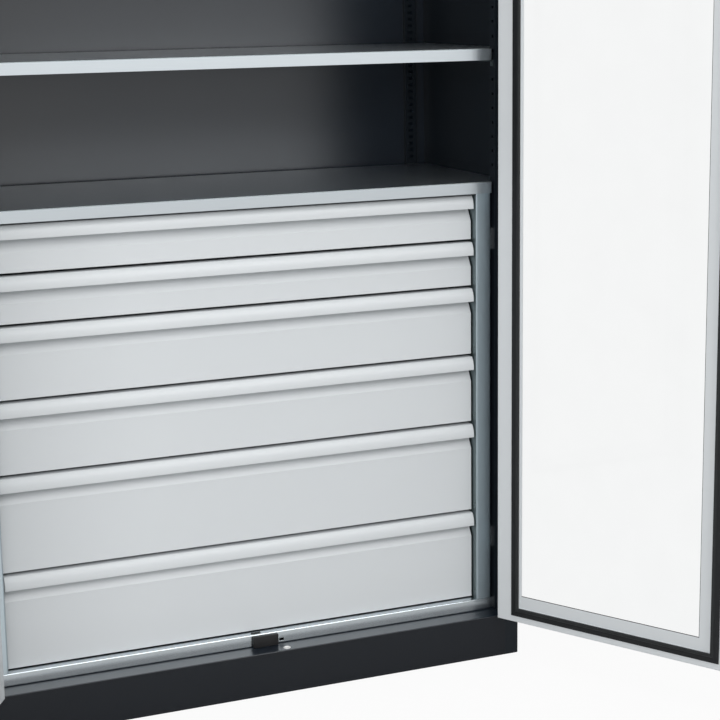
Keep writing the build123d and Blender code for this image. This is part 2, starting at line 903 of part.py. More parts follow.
for side in ("left", "right"):
    save(f"door_{side}_shell", open_door(door_shell(side == "right"), side))
    save(f"door_{side}_inner_frame", open_door(door_inner_frame(), side))
    save(f"door_{side}_pane", open_door(door_pane(), side))
    save(f"door_{side}_seal", open_door(door_seal(), side))
    save(f"door_{side}_knuckles", *[open_door(door_knuckle(z), side) for z in hinge_heights])

save("lock_case", open_door(lock_case(), "right"))
save("turning_handle", open_door(turning_handle(), "right"))
save("handle_rosette", open_door(rosette(), "right"))
save("lock_rod_upper", open_door(lock_rod(True), "right"))
save("lock_rod_lower", open_door(lock_rod(False), "right"))
save("rod_guides", *[open_door(guide, "right") for guide in rod_guides()])
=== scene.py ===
# %% [markdown]
# Heavy-duty cabinet with glazed doors and six drawers: what this lesson builds.
# The sheet-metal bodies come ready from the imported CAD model, so that every door and
# drawer moves as the real one does. This script gives them their finishes, adds the
# small pieces that are rounder than sheet metal, and sets up floor, light and camera.
# Everything is in metres: X runs to the right, Y to the back, Z up.

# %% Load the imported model
import json
import math

import bmesh
import bpy
from mathutils import Matrix, Vector


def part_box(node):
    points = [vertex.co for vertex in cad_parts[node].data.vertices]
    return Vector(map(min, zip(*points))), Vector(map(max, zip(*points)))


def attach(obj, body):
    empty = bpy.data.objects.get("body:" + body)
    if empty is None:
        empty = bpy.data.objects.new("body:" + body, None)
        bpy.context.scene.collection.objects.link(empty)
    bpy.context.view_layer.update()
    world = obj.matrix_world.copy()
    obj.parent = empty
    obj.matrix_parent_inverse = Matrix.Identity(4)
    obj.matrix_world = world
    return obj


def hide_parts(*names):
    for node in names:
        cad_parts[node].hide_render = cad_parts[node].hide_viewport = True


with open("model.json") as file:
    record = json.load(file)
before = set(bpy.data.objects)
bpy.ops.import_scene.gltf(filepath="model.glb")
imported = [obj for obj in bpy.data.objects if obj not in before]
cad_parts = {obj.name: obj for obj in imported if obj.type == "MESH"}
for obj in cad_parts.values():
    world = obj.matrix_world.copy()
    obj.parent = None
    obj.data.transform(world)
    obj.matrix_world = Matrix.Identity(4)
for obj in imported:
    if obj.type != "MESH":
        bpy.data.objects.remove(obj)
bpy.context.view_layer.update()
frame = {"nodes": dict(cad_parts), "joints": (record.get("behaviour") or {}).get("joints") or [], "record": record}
MM = 0.001

# %% [markdown]
# The two doors stand wide open at rest. It is far easier to think of a door piece on
# the closed door, where it lines up with the axes, so one helper turns such a piece
# open about the hinge line. The hinge line and the angle come from the joint itself,
# and the left door is the mirror image of the right one.

# %% Places on the open doors
joints = {joint["name"]: joint for joint in frame["joints"]}
hinge = joints["door_right_hinge"]
OPEN_ANGLE = math.radians(-hinge["range_deg"][0])
PIVOT = Vector(hinge["pos_m"])
TO_OPEN = Matrix.Translation(PIVOT) @ Matrix.Rotation(OPEN_ANGLE, 4, "Z") @ Matrix.Translation(-PIVOT)
MIRROR = Matrix.Scale(-1, 4, (1, 0, 0))


def open_place(side):
    """The turn that carries a piece of the closed right door to the open door on that side."""
    return TO_OPEN if side == "right" else MIRROR @ TO_OPEN


def shut_box(node):
    """Lowest and highest corner of a node of the right door, as if the door were shut."""
    back = TO_OPEN.inverted()
    corners = [back @ v.co for v in frame["nodes"][node].data.vertices]
    low = Vector([min(c[i] for c in corners) for i in range(3)])
    high = Vector([max(c[i] for c in corners) for i in range(3)])
    return low, high


print("door open by", round(math.degrees(OPEN_ANGLE)), "degrees about x =", round(PIVOT.x, 4))

# %% [markdown]
# A procedural material is a small calculation, and it reads best as one. This class
# wraps an output socket, so that a sum, a difference or a product of two of them writes
# its Math node for us. The reflected forms let a plain number stand on the left, so that
# 1 - mask works too.

# %% Sockets that can stand in a sum


class Wire:
    """An output socket of a shader node that can stand in a Python sum."""

    def __init__(self, paint, socket):
        self.paint = paint
        self.socket = socket

    def math(self, operation, first, second):
        """A Math node with two inputs, which may be sockets or plain numbers."""
        return self.paint.node("Math", {"operation": operation}, {0: first, 1: second})

    def __add__(self, other):
        return self.math("ADD", self, other)

    __radd__ = __add__

    def __mul__(self, other):
        return self.math("MULTIPLY", self, other)

    __rmul__ = __mul__

    def __sub__(self, other):
        return self.math("SUBTRACT", self, other)

    def __rsub__(self, other):
        return self.math("SUBTRACT", other, self)


print("sockets ready for sums")

# %% [markdown]
# The other class holds one material while it is being built. Its node() method adds any
# node: first the settings, because some of them change which sockets exist, and then
# the values or links of the inputs.

# %% A material under construction


class Paint:
    """Node tree of one material, with a method that adds any node."""

    def __init__(self, name, tree=None):
        if tree is None:
            self.material = bpy.data.materials.new(name)
            self.material.use_nodes = True
            tree = self.material.node_tree
        self.tree = tree
        tree.nodes.clear()

    def node(self, kind, settings=None, inputs=None, out=0):
        """Adds a node. Inputs are keyed by name or number; out picks the output."""
        made = self.tree.nodes.new("ShaderNode" + kind)
        for key, value in (settings or {}).items():
            setattr(made, key, value)
        for key, value in (inputs or {}).items():
            socket = made.inputs[key]
            if isinstance(value, Wire):
                self.tree.links.new(value.socket, socket)
            else:
                socket.default_value = value
        return Wire(self, made.outputs[out]) if len(made.outputs) else made

    def mix(self, factor, a, b):
        """Blend of two colours."""
        return self.node("Mix", {"data_type": "RGBA"}, {0: factor, 6: a, 7: b}, out=2)

    def noise(self, scale, detail=2.0, stretch=(1, 1, 1)):
        """Noise over the piece, in cells per metre, optionally drawn out along an axis."""
        place = self.node("TexCoord", out="Object")
        if tuple(stretch) != (1, 1, 1):
            place = self.node("Mapping", None, {"Vector": place, "Scale": stretch})
        return self.node("TexNoise", None, {"Vector": place, "Scale": scale, "Detail": detail})

    def normal(self, height, depth, strength=1.0, edge=0.8 * MM):
        """Bump from a height pattern, on edges that a Bevel node rounds off."""
        soft = self.node("Bevel", {"samples": 4}, {"Radius": edge})
        inputs = {"Height": height, "Distance": depth, "Strength": strength, "Normal": soft}
        return self.node("Bump", None, inputs)

    def surface(self, **values):
        """Closes the material with a Principled shader; _ in a name stands for a blank."""
        inputs = {key.replace("_", " "): value for key, value in values.items()}
        shader = self.node("BsdfPrincipled", None, inputs)
        self.node("OutputMaterial", None, {"Surface": shader})
        return self.material


def rgb(red, green, blue):
    """A colour written as on screen, 0 to 255, in the linear values that shaders use."""
    def linear(value):
        value /= 255
        return value / 12.92 if value <= 0.04045 else ((value + 0.055) / 1.055) ** 2.4
    return (linear(red), linear(green), linear(blue), 1)


print("shader helpers ready")

# %% [markdown]
# Powder coat is paint that was baked on as dry powder. It covers the sheet in one even
# colour, but a close look shows orange peel: soft dimples about two millimetres apart.
# The colour and the gloss drift a little over a whole panel as well. Both are noise, at
# two very different sizes, and a third, very fine one stands for the grain of the powder.
# A size of noise is written as cells per metre, and the depth of a bump in millimetres.
# The anthracite coat is mixed three times: glossy on the back and the sill, dull on the
# sides, and darkest on the plinth. That darker colour is painted shade, for the plinth's
# upright faces that stand low and catch less light than the sill above them.

# %% Powder coat
PANEL_CELLS = 3.5
PEEL_CELLS = 420
POWDER_CELLS = 2600
PEEL_DEPTH = 0.06


def powder_coat(name, colour, second, gloss, spread, sheen):
    """Baked paint: orange peel, a fine grain and slow changes of tone and gloss."""
    paint = Paint(name)
    drift = paint.noise(PANEL_CELLS, 3.0)
    grain = paint.noise(POWDER_CELLS, 1.0)
    tone = paint.mix(drift * 0.7 + grain * 0.3, colour, second)
    peel = paint.noise(PEEL_CELLS, 1.5)
    roughness = gloss + (drift - 0.5) * spread
    return paint.surface(
        Base_Color=tone,
        Roughness=roughness,
        Normal=paint.normal(peel * 0.8 + grain * 0.2, PEEL_DEPTH * MM, 0.22),
        Specular_IOR_Level=sheen,
    )


ANTHRACITE = powder_coat("anthracite powder coat", rgb(17, 26, 36), rgb(21, 30, 40), 0.3, 0.08, 0.85)
SIDE_COAT = powder_coat("side panel powder coat", rgb(20, 26, 32), rgb(24, 30, 36), 0.38, 0.08, 0.3)
# Painted shade: a darker copy of the anthracite for the plinth's upright faces.
PLINTH_PAINTED_SHADE = powder_coat("plinth coat with painted shade", rgb(9, 14, 21), rgb(13, 18, 25), 0.38, 0.08, 0.4)
LIGHT_GREY = powder_coat("light grey powder coat", rgb(206, 210, 213), rgb(210, 214, 216), 0.33, 0.06, 0.5)
print(ANTHRACITE.name, "and", LIGHT_GREY.name)

# %% [markdown]
# Zinc-plated sheet is bare metal under a very thin coat of zinc. It mirrors what stands
# around it, but the mirror is blurred, and faint lines from the rolling mill run along
# the sheet. The lines are noise that is drawn out along one axis: X for most sheets, Z for
# the upright ones. They go into the colour, the roughness and a shallow bump. A bend is
# rougher than the flat sheet beside it and gets a darker colour, which is painted shade
# that dims the lamp's line of light along it. The flanks beside the drawers and the shelf
# hooks get a darker zinc still, as painted shade, and the level shelf tops a lighter zinc,
# as a painted reflection.

# %% Zinc-plated steel
CLOUD_CELLS = 9
ROLLING_CELLS = 700
ROLLING_DEPTH = 0.01
SIDEWARDS = (0.04, 1, 1)
UPWARDS = (1, 1, 0.04)
PLAIN_EDGE = 0.6
SOFT_EDGE = 0.4
CRISP_EDGE = 0.2


def zinc(name, bright, dull, roughness, along=SIDEWARDS, edge=PLAIN_EDGE):
    """Bare zinc: blurred mirror, rolling lines along one axis and a cloudy bloom."""
    paint = Paint(name)
    cloud = paint.noise(CLOUD_CELLS, 4.0)
    lines = paint.noise(ROLLING_CELLS, 2.0, along)
    tone = paint.mix(cloud * 0.4 + lines * 0.6, dull, bright)
    rough = roughness - (1 - cloud) * 0.01 + lines * 0.02
    return paint.surface(
        Base_Color=tone,
        Metallic=1.0,
        Roughness=rough,
        Normal=paint.normal(lines, ROLLING_DEPTH * MM, 0.05, edge * MM),
    )


ZINC = zinc("zinc plated steel", rgb(214, 221, 225), rgb(206, 214, 219), 0.25)
ZINC_POST = zinc("zinc plated post", rgb(216, 229, 235), rgb(208, 222, 229), 0.35, UPWARDS, SOFT_EDGE)
# Painted shade: the post's bent rim gets a darker zinc than its flat face.
ZINC_POST_BEND_PAINTED_SHADE = zinc("zinc post bend with painted shade", rgb(186, 199, 206), rgb(178, 192, 200), 0.4,
                      UPWARDS, SOFT_EDGE)
# Painted shade: a darker zinc for the flanks beside the drawers and the shelf hooks.
ZINC_PAINTED_SHADE = zinc("zinc with painted shade", rgb(136, 148, 150), rgb(126, 139, 142), 0.45, UPWARDS)
ZINC_SHELF = zinc("zinc plated shelf", rgb(214, 221, 225), rgb(206, 214, 219), 0.28, edge=CRISP_EDGE)
# Painted reflection: a lighter zinc for the level shelf tops.
ZINC_TOP_PAINTED_LIGHT = zinc("zinc shelf top with painted reflection", rgb(240, 244, 247), rgb(232, 238, 242), 0.28, edge=CRISP_EDGE)
# Painted shade: the shelf bends get a darker zinc than the flat sheet.
ZINC_BEND_PAINTED_SHADE = zinc("zinc shelf bend with painted shade", rgb(146, 155, 158), rgb(138, 148, 151), 0.45, edge=CRISP_EDGE)
print(ZINC.name, "and", ZINC_POST.name)

# %% [markdown]
# Plastic and rubber parts are moulded or extruded. The mould leaves a fine, even grain
# that breaks up the highlight, and rubber is rougher still, with a little grey bloom.

# %% Plastic and rubber
BLOOM_CELLS = 30


def moulded(name, colour, second, roughness, grain_cells, depth):
    """Moulded plastic or rubber with the fine grain of its tool."""
    paint = Paint(name)
    grain = paint.noise(grain_cells, 2.0)
    bloom = paint.noise(BLOOM_CELLS, 3.0)
    return paint.surface(
        Base_Color=paint.mix(bloom, colour, second),
        Roughness=roughness + (bloom - 0.5) * 0.12,
        Specular_IOR_Level=0.3,
        Normal=paint.normal(grain, depth * MM, 0.4, 0.5 * MM),
    )


BLACK_PLASTIC = moulded("black plastic", rgb(30, 30, 31), rgb(38, 38, 39), 0.45, 1500, 0.05)
WHITE_PLASTIC = moulded("white plastic", rgb(244, 244, 242), rgb(250, 250, 249), 0.35, 1500, 0.02)
RUBBER = moulded("black rubber", rgb(24, 25, 27), rgb(30, 32, 33), 0.62, 1100, 0.06)
# Painted light: a lighter copy of the rubber for the bulb of the seal.
RUBBER_RIDGE_PAINTED_LIGHT = moulded("rubber ridge with painted light", rgb(32, 34, 35), rgb(40, 42, 43), 0.58, 1100, 0.06)
print("moulded finishes ready")

# %% [markdown]
# The panes are clear plastic sheet. Light passes through with hardly any tint, so the
# shader transmits it. A trace of fine surface haze in the roughness keeps the pane from
# looking like a hole in the door. IOR is the number for how strongly a material bends and
# mirrors light. It is set lower than that of real plastic, because the pane in the picture
# mirrors hardly anything.

# %% Clear pane
HAZE_CELLS = 14
PANE_IOR = 1.15


def clear_pane():
    """Clear sheet that lets light through, with a trace of haze."""
    paint = Paint("clear pane")
    haze = paint.noise(HAZE_CELLS, 2.0)
    return paint.surface(
        Base_Color=paint.mix(haze, rgb(243, 244, 244), rgb(246, 247, 247)),
        Roughness=haze * 0.03,
        IOR=PANE_IOR,
        Transmission_Weight=1.0,
    )


PANE = clear_pane()
print(PANE.name)

# %% [markdown]
# The record of the model names a material slot for each node. One table turns those
# names into the finishes above, and each CAD mesh gets its finish in its own slots. A
# second table has the few nodes that look different from the rest of their slot; the
# shelf hooks in it get the darker zinc of painted shade. A third one paints light and
# shade onto some faces of a node, picked by the normal, the unit vector that points
# straight out of a face. Its z is 1 on a level face that looks up, 0 on an upright one,
# and between the two on a bend, so a bend can be told from the sheet on both sides. The
# plinth's upright faces, the zinc flanks beside the drawers and the bends get a darker
# colour, painted shade, and the level shelf tops a lighter zinc, a painted reflection.

# %% Finishes on the CAD nodes
FINISH = {
    "anthracite_powder_coat": ANTHRACITE,
    "light_grey_powder_coat": LIGHT_GREY,
    "zinc_plated_steel": ZINC,
    "black_plastic": BLACK_PLASTIC,
    "white_plastic": WHITE_PLASTIC,
    "black_rubber": RUBBER,
    "clear_pane": PANE,
}
OWN_FINISH = {
    "housing_side_left": ZINC_POST,
    "housing_side_right": ZINC_POST,
    "side_panel_left": SIDE_COAT,
    "side_panel_right": SIDE_COAT,
    "front_uprights": SIDE_COAT,
    "rear_uprights": SIDE_COAT,
    "roof_panel": SIDE_COAT,
    # Painted shade: the hooks take the darker zinc.
    "shelf_hooks": ZINC_PAINTED_SHADE,
    "shelf_upper": ZINC_SHELF,
    "shelf_lower": ZINC_SHELF,
    "cover_shelf": ZINC_SHELF,
}
LEVEL = 0.98
UPRIGHT = 0.05
SIDEWAYS = 0.9
STEEP = 0.5
# Painted shade on the shelf bends and a painted reflection on the level shelf tops.
SHELF_SHADE_AND_LIGHT = (
    (ZINC_BEND_PAINTED_SHADE, lambda normal: UPRIGHT < normal.z < LEVEL),
    (ZINC_TOP_PAINTED_LIGHT, lambda normal: normal.z >= LEVEL),
)
# Painted shade on the post's bent rim.
POST_BEND_PAINTED_SHADE = (ZINC_POST_BEND_PAINTED_SHADE, lambda normal: UPRIGHT < abs(normal.x) <= SIDEWAYS and normal.y < -UPRIGHT)
# Faces that get painted shade and painted reflection, picked by their normal.
FACE_SHADE_AND_LIGHT = {
    # Painted shade: the base's upright faces, the plinth, take the darker coat; the sill keeps the glossy one.
    "base_tray": ((PLINTH_PAINTED_SHADE, lambda normal: abs(normal.z) < STEEP),),
    # Painted shade: the flanks that face the drawers take the darker zinc.
    "housing_side_left": ((ZINC_PAINTED_SHADE, lambda normal: normal.x > SIDEWAYS), POST_BEND_PAINTED_SHADE),
    "housing_side_right": ((ZINC_PAINTED_SHADE, lambda normal: normal.x < -SIDEWAYS), POST_BEND_PAINTED_SHADE),
    "shelf_upper": SHELF_SHADE_AND_LIGHT,
    "shelf_lower": SHELF_SHADE_AND_LIGHT,
    "cover_shelf": SHELF_SHADE_AND_LIGHT,
}
for row in frame["record"]["subparts"]:
    name = row["node"]
    mesh = frame["nodes"][name].data
    mesh.materials.clear()
    mesh.materials.append(OWN_FINISH.get(name, FINISH[row["material_slot"]]))
    for number, (finish, chosen) in enumerate(FACE_SHADE_AND_LIGHT.get(name, ()), 1):
        mesh.materials.append(finish)
        for face in mesh.polygons:
            if chosen(face.normal):
                face.material_index = number

# %% [markdown]
# The rounder pieces are drawn as meshes in code. Each one is built point by point in a
# bmesh, Blender's editable mesh, and then becomes an object with a finish.

# %% From a bmesh to a piece of the cabinet


def add_piece(name, shape, finishes, body, replaces=(), place=None):
    """Turns a bmesh into an object with its finishes, on a body, in place of CAD nodes."""
    bmesh.ops.recalc_face_normals(shape, faces=shape.faces)
    mesh = bpy.data.meshes.new(name)
    shape.to_mesh(mesh)
    shape.free()
    if place is not None:
        mesh.transform(place)
        if place.determinant() < 0:
            mesh.flip_normals()
    for finish in finishes:
        mesh.materials.append(finish)
    piece = bpy.data.objects.new(name, mesh)
    bpy.context.collection.objects.link(piece)
    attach(piece, body)
    if replaces:
        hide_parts(*replaces)
    print(name, "on", body, "with", len(mesh.polygons), "faces")
    return piece


def smooth(piece, angle=35):
    """Smooth shading that keeps edges sharper than the angle."""
    piece.data.shade_smooth()
    for edge_angle, edge in edge_angles(piece.data):
        edge.use_edge_sharp = edge_angle > math.radians(angle)
    return piece


def edge_angles(mesh):
    """Each edge with the angle between its two faces."""
    sides = {}
    for face in mesh.polygons:
        for key in face.edge_keys:
            sides.setdefault(key, []).append(face.normal)
    for edge in mesh.edges:
        normals = sides.get(edge.key, [])
        yield (normals[0].angle(normals[1], 0) if len(normals) == 2 else math.pi), edge


print("pieces can be added and smoothed")

# %% [markdown]
# Screw heads, cups and discs are all turned shapes. A lathe does them in one go: it takes
# a profile of radius and height and spins it round. A radius may also be a function of
# the angle, which is how the six-sided socket of a screw comes out of the same lathe.

# %% A lathe


def turned(shape, profile, turn, steps=32):
    """Spins a profile of (radius, height) about the Z axis of the matrix turn."""
    rings = []
    for radius, height in profile:
        ring = []
        for n in range(steps):
            angle = 2 * math.pi * n / steps
            r = radius(angle) if callable(radius) else radius
            ring.append(shape.verts.new(turn @ Vector((r * math.cos(angle), r * math.sin(angle), height))))
        rings.append(ring)
    for low, high in zip(rings, rings[1:]):
        for n in range(steps):
            m = (n + 1) % steps
            shape.faces.new((low[n], low[m], high[m], high[n]))
    for ring in (rings[0], rings[-1]):
        shape.faces.new(ring)


def in_metres(profile):
    """A profile that is written in millimetres, in the metres that Blender works in."""
    return [(radius * MM, height * MM) for radius, height in profile]


def facing(place, direction):
    """A matrix that puts a turned shape at a place with its axis along a direction."""
    return Matrix.Translation(place) @ Vector(direction).to_track_quat("Z", "Y").to_matrix().to_4x4()


print("lathe ready")

# %% [markdown]
# The rubber seal is an extruded strip: a flat foot with a rounded bulb along its inner
# half. It is cut at 45 degrees in the corners and butted together, and those fine joints
# show on the real door. So each side is a strip of its own that stops a hair short of
# the corner line.

# %% Door seals
SEAL_PROFILE = [
    (-2.5, 0), (-2.5, 1.8), (-2.2, 2.3), (-1.6, 2.5), (8.4, 2.5),
    (9.0, 2.8), (9.3, 3.6), (9.8, 4.4), (10.7, 4.9), (12.4, 5.0),
    (14.2, 4.9), (15.2, 4.4), (15.8, 3.6), (16, 2.6), (16, 0),
]
RIDGE_FROM = 4
MITRE_GAP = 0.12


def seal_shape():
    """Four mitred strips on the closed right door."""
    low, high = shut_box("door_right_seal")
    shape = bmesh.new()
    corners = [
        (low.x, low.z, 1, 1), (high.x, low.z, -1, 1),
        (high.x, high.z, -1, -1), (low.x, high.z, 1, -1),
    ]
    for start, end in zip(corners, corners[1:] + corners[:1]):
        along_x = start[1] == end[1]
        rings = []
        for x, z, way_x, way_z in (start, end):
            step_x = MITRE_GAP * MM * way_x * (1 if along_x else 0)
            step_z = MITRE_GAP * MM * way_z * (0 if along_x else 1)
            ring = []
            for inset, rise in SEAL_PROFILE:
                across = x + way_x * inset * MM + step_x
                up = z + way_z * inset * MM + step_z
                ring.append(shape.verts.new((across, low.y + rise * MM, up)))
            rings.append(ring)
        count = len(SEAL_PROFILE)
        for n in range(count):
            m = (n + 1) % count
            face = shape.faces.new((rings[0][n], rings[0][m], rings[1][m], rings[1][n]))
            # Painted light: the faces of the bulb take the lighter rubber.
            face.material_index = 1 if n >= RIDGE_FROM and m else 0
        for ring in rings:
            shape.faces.new(ring)
    return shape


for side in ("left", "right"):
    smooth(add_piece(
        f"seal_{side}", seal_shape(), (RUBBER, RUBBER_RIDGE_PAINTED_LIGHT), f"door_{side}",
        [f"door_{side}_seal"], open_place(side),
    ))

# %% [markdown]
# A rod drops into a white plastic cup in the sill, and another rises into a cup in the
# header. Only the rim of a cup shows. The lathe gives it a rounded lip and a mouth that
# narrows a little, so that the rod finds its way in.

# %% Cups for the lock rods
CUP_RIM = 7.6
CUP_MOUTH = 6.4
CUP_DEPTH = 23.0
CUP_FLOOR = 4.0
BUSH_LENGTH = 24


def cups_shape():
    """The cup in the sill and the one in the header, mouth to mouth."""
    shape = bmesh.new()
    low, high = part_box("lock_bushes")
    axis = (low + high) / 2
    outside = [(CUP_RIM, -CUP_DEPTH), (CUP_RIM, 0.3), (CUP_RIM - 0.15, 0.6), (CUP_RIM - 0.45, 0.8)]
    mouth = [(CUP_MOUTH + 0.2, 0.8), (CUP_MOUTH - 0.1, 0.4), (CUP_MOUTH - 0.6, -2)]
    inside = [(CUP_MOUTH - 0.9, CUP_FLOOR - CUP_DEPTH)]
    profile = in_metres(outside + mouth + inside)
    sill_top = low.z + BUSH_LENGTH * MM
    header_low = high.z - BUSH_LENGTH * MM
    for height, way in ((sill_top, 1), (header_low, -1)):
        turned(shape, profile, facing((axis.x, axis.y, height), (0, 0, way)), steps=40)
    return shape


smooth(add_piece("rod_cups", cups_shape(), (WHITE_PLASTIC,), "carcass", ["lock_bushes"]))

# %% [markdown]
# The doors close against the catch block on the sill. It is one small moulding, and its
# tongue comes up through the rail's upper flange, a little behind the block. A bevel over
# all its edges, cut straight into the mesh, gives it the soft corners that every moulded
# part needs to leave its tool.

# %% Catch block
BLOCK_HEIGHT = 24
BLOCK_EDGE = 1.2
TONGUE_FRONT = 4
TONGUE_BACK = 10
TONGUE_WIDTH = 20
TONGUE_SUNK = 2
TONGUE_EDGE = 0.3


def soft_box(shape, low, high, edge):
    """A box with its edges rounded."""
    size = Vector([high[i] - low[i] for i in range(3)])
    middle = Vector([(high[i] + low[i]) / 2 for i in range(3)])
    made = bmesh.ops.create_cube(shape, size=1.0, matrix=Matrix.LocRotScale(middle, None, size))
    edges = {e for v in made["verts"] for e in v.link_edges}
    bmesh.ops.bevel(shape, geom=list(edges), offset=edge, segments=3, profile=0.5, affect="EDGES")


def catch_shape():
    """The block in front of the rail, and the tongue that comes up through the rail."""
    low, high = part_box("door_catch_block")
    rail_low, rail_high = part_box("housing_rail")
    shape = bmesh.new()
    soft_box(shape, low, (high.x, rail_low.y, low.z + BLOCK_HEIGHT * MM), BLOCK_EDGE * MM)
    tongue_low = (low.x, rail_low.y + TONGUE_FRONT * MM, rail_high.z - TONGUE_SUNK * MM)
    tongue_high = (low.x + TONGUE_WIDTH * MM, rail_low.y + TONGUE_BACK * MM, high.z)
    soft_box(shape, tongue_low, tongue_high, TONGUE_EDGE * MM)
    return shape


smooth(add_piece("catch_block", catch_shape(), (BLACK_PLASTIC,), "carcass",
                 ["door_catch_block"]))

# %% [markdown]
# The rail under the drawers is one strip of sheet, bent along two edges. The bends are
# what the eye reads: the upper one carries a thin line of light, and the lower one leaves
# a dark crease on the sill. So the profile gets a true arc at each bend, and is then drawn
# out along X. Its faces are cut into columns and rows, so that one of them can be left out
# as the hole beside the catch block.

# %% Rail under the drawers
RAIL_BEND = 3.0
RAIL_SHEET = 1.5
NEAR_END = 1.0
NEAR_FACE = 2.0


def bend(centre_y, centre_z, radius, start, end, steps=6):
    """Points of an arc in the YZ plane, angles in degrees from the Y axis."""
    angles = [math.radians(start + (end - start) * n / steps) for n in range(steps + 1)]
    return [(centre_y + radius * math.cos(a), centre_z + radius * math.sin(a)) for a in angles]


def rail_rows(low, high, radius, shift, hole_z):
    """One skin of the rail's profile: lower flange, face and upper flange."""
    y, z0, z1 = low.y + shift, low.z + shift, high.z - shift
    rows = [(high.y, z0)]
    rows += bend(y + radius, z0 + radius, radius, 270, 180)
    rows += [(y, z) for z in hole_z]
    rows += bend(y + radius, z1 - radius, radius, 180, 90)
    return rows + [(high.y, z1)]


def rail_hole():
    """The open rectangle in the face of the rail, read from the CAD mesh."""
    low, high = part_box("housing_rail")
    left, right = low.x + NEAR_END * MM, high.x - NEAR_END * MM
    inner = [v.co for v in frame["nodes"]["housing_rail"].data.vertices
             if left < v.co.x < right and v.co.y < low.y + NEAR_FACE * MM]
    return [(min(c[i] for c in inner), max(c[i] for c in inner)) for i in (0, 2)]


def rail_shape():
    """Both skins of the rail with the sheet's edges and the sides of the hole."""
    low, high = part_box("housing_rail")
    hole_x, hole_z = rail_hole()
    sheet, radius = RAIL_SHEET * MM, RAIL_BEND * MM
    skins = [rail_rows(low, high, radius, 0, hole_z), rail_rows(low, high, radius - sheet, sheet, hole_z)]
    columns = [low.x, *hole_x, high.x]
    shape = bmesh.new()
    grids = [[[shape.verts.new((x, y, z)) for y, z in skin] for x in columns] for skin in skins]
    spans, rows = len(columns) - 1, len(skins[0])
    hole_row = skins[0].index((low.y, hole_z[0]))
    for grid in grids:
        for c in range(spans):
            for r in range(rows - 1):
                if (c, r) != (1, hole_row):
                    shape.faces.new((grid[c][r], grid[c + 1][r], grid[c + 1][r + 1], grid[c][r + 1]))
    outer, inner = grids
    for c in (0, spans):
        for r in range(rows - 1):
            shape.faces.new((outer[c][r], outer[c][r + 1], inner[c][r + 1], inner[c][r]))
    for r in (0, rows - 1):
        for c in range(spans):
            shape.faces.new((outer[c][r], outer[c + 1][r], inner[c + 1][r], inner[c][r]))
    ring = [(1, hole_row), (2, hole_row), (2, hole_row + 1), (1, hole_row + 1)]
    for (c0, r0), (c1, r1) in zip(ring, ring[1:] + ring[:1]):
        shape.faces.new((outer[c0][r0], outer[c1][r1], inner[c1][r1], inner[c0][r0]))
    return shape


smooth(add_piece("housing_rail_bent", rail_shape(), (ZINC,), "carcass",
                 ["housing_rail"]))

# %% [markdown]
# The grip along the top of each drawer is a hollow profile. Its front is a shallow curve
# that leans back towards the top, so that a lamp above draws one soft line of light along
# it. The curve is an arc with a large radius, which runs into a small arc at the top edge.
# The inner skin has the same centres and the wall's thickness less radius.

# %% Drawer grips
GRIP_RADIUS = 34.0
GRIP_TOP_EDGE = 3.0
GRIP_WALL = 2.0
GRIP_LIP = 4.0
GRIP_TURN_IN = 8.0
DRAWERS = 6


def grip_rows(low, high, depth):
    """One skin of the grip, from its back edge over the top and down the front to the lip."""
    radius, edge = GRIP_RADIUS * MM, GRIP_TOP_EDGE * MM
    centre_z = low.z + radius * math.sin(math.radians(GRIP_TURN_IN))
    centre_y = low.y + radius
    lean = math.degrees(math.asin((high.z - edge - centre_z) / (radius - edge)))
    end = math.degrees(math.asin((low.z + depth - centre_z) / (radius - depth)))
    edge_y = centre_y - (radius - edge) * math.cos(math.radians(lean))
    rows = [(high.y, high.z - depth)]
    rows += bend(edge_y, high.z - edge, edge - depth, 90, 180 - lean)
    rows += bend(centre_y, centre_z, radius - depth, 180 - lean, 180 - end, steps=12)[1:]
    return rows + [(low.y + GRIP_LIP * MM, low.z + depth)]


def grip_shape(node):
    """The hollow profile over the width of one drawer, open at its ends."""
    low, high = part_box(node)
    shape = bmesh.new()
    skins = []
    for depth in (0, GRIP_WALL * MM):
        rows = grip_rows(low, high, depth)
        skins.append([[shape.verts.new((x, y, z)) for y, z in rows] for x in (low.x, high.x)])
    (left, right), (left_in, right_in) = skins
    for r in range(len(left) - 1):
        shape.faces.new((left[r], right[r], right[r + 1], left[r + 1]))
        shape.faces.new((left_in[r], right_in[r], right_in[r + 1], left_in[r + 1]))
        shape.faces.new((left[r], left[r + 1], left_in[r + 1], left_in[r]))
        shape.faces.new((right[r], right[r + 1], right_in[r + 1], right_in[r]))
    for r in (0, -1):
        shape.faces.new((left[r], right[r], right_in[r], left_in[r]))
    return shape


for number in range(1, DRAWERS + 1):
    node = f"drawer_{number}_grip"
    smooth(add_piece(f"grip_{number}_profile", grip_shape(node), (LIGHT_GREY,), f"drawer_{number}",
                     [node]))

# %% [markdown]
# Each pane lies in a thin rubber strip. From inside only its edge shows, as a fine dark
# line along the window. Beside the hinges the strip sits deeper and stays out of sight.
# Four slim bars with rounded edges are enough for a piece as small as this.

# %% Glazing strips
STRIP_WIDTH = 1.1
STRIP_RISE = 1.3
STRIP_TUCK = 1.3
STRIP_EDGE = 0.2
PANE_HIDDEN = 11


def frame_of_boxes(shape, low, high, width, edge):
    """Four bars round the inside of a box that lies in the plane of the door."""
    bars = (
        ((low.x, low.z), (high.x, low.z + width)),
        ((low.x, high.z - width), (high.x, high.z)),
        ((low.x, low.z + width), (low.x + width, high.z - width)),
        ((high.x - width, low.z + width), (high.x, high.z - width)),
    )
    for (x0, z0), (x1, z1) in bars:
        soft_box(shape, (x0, low.y, z0), (x1, high.y, z1), edge)


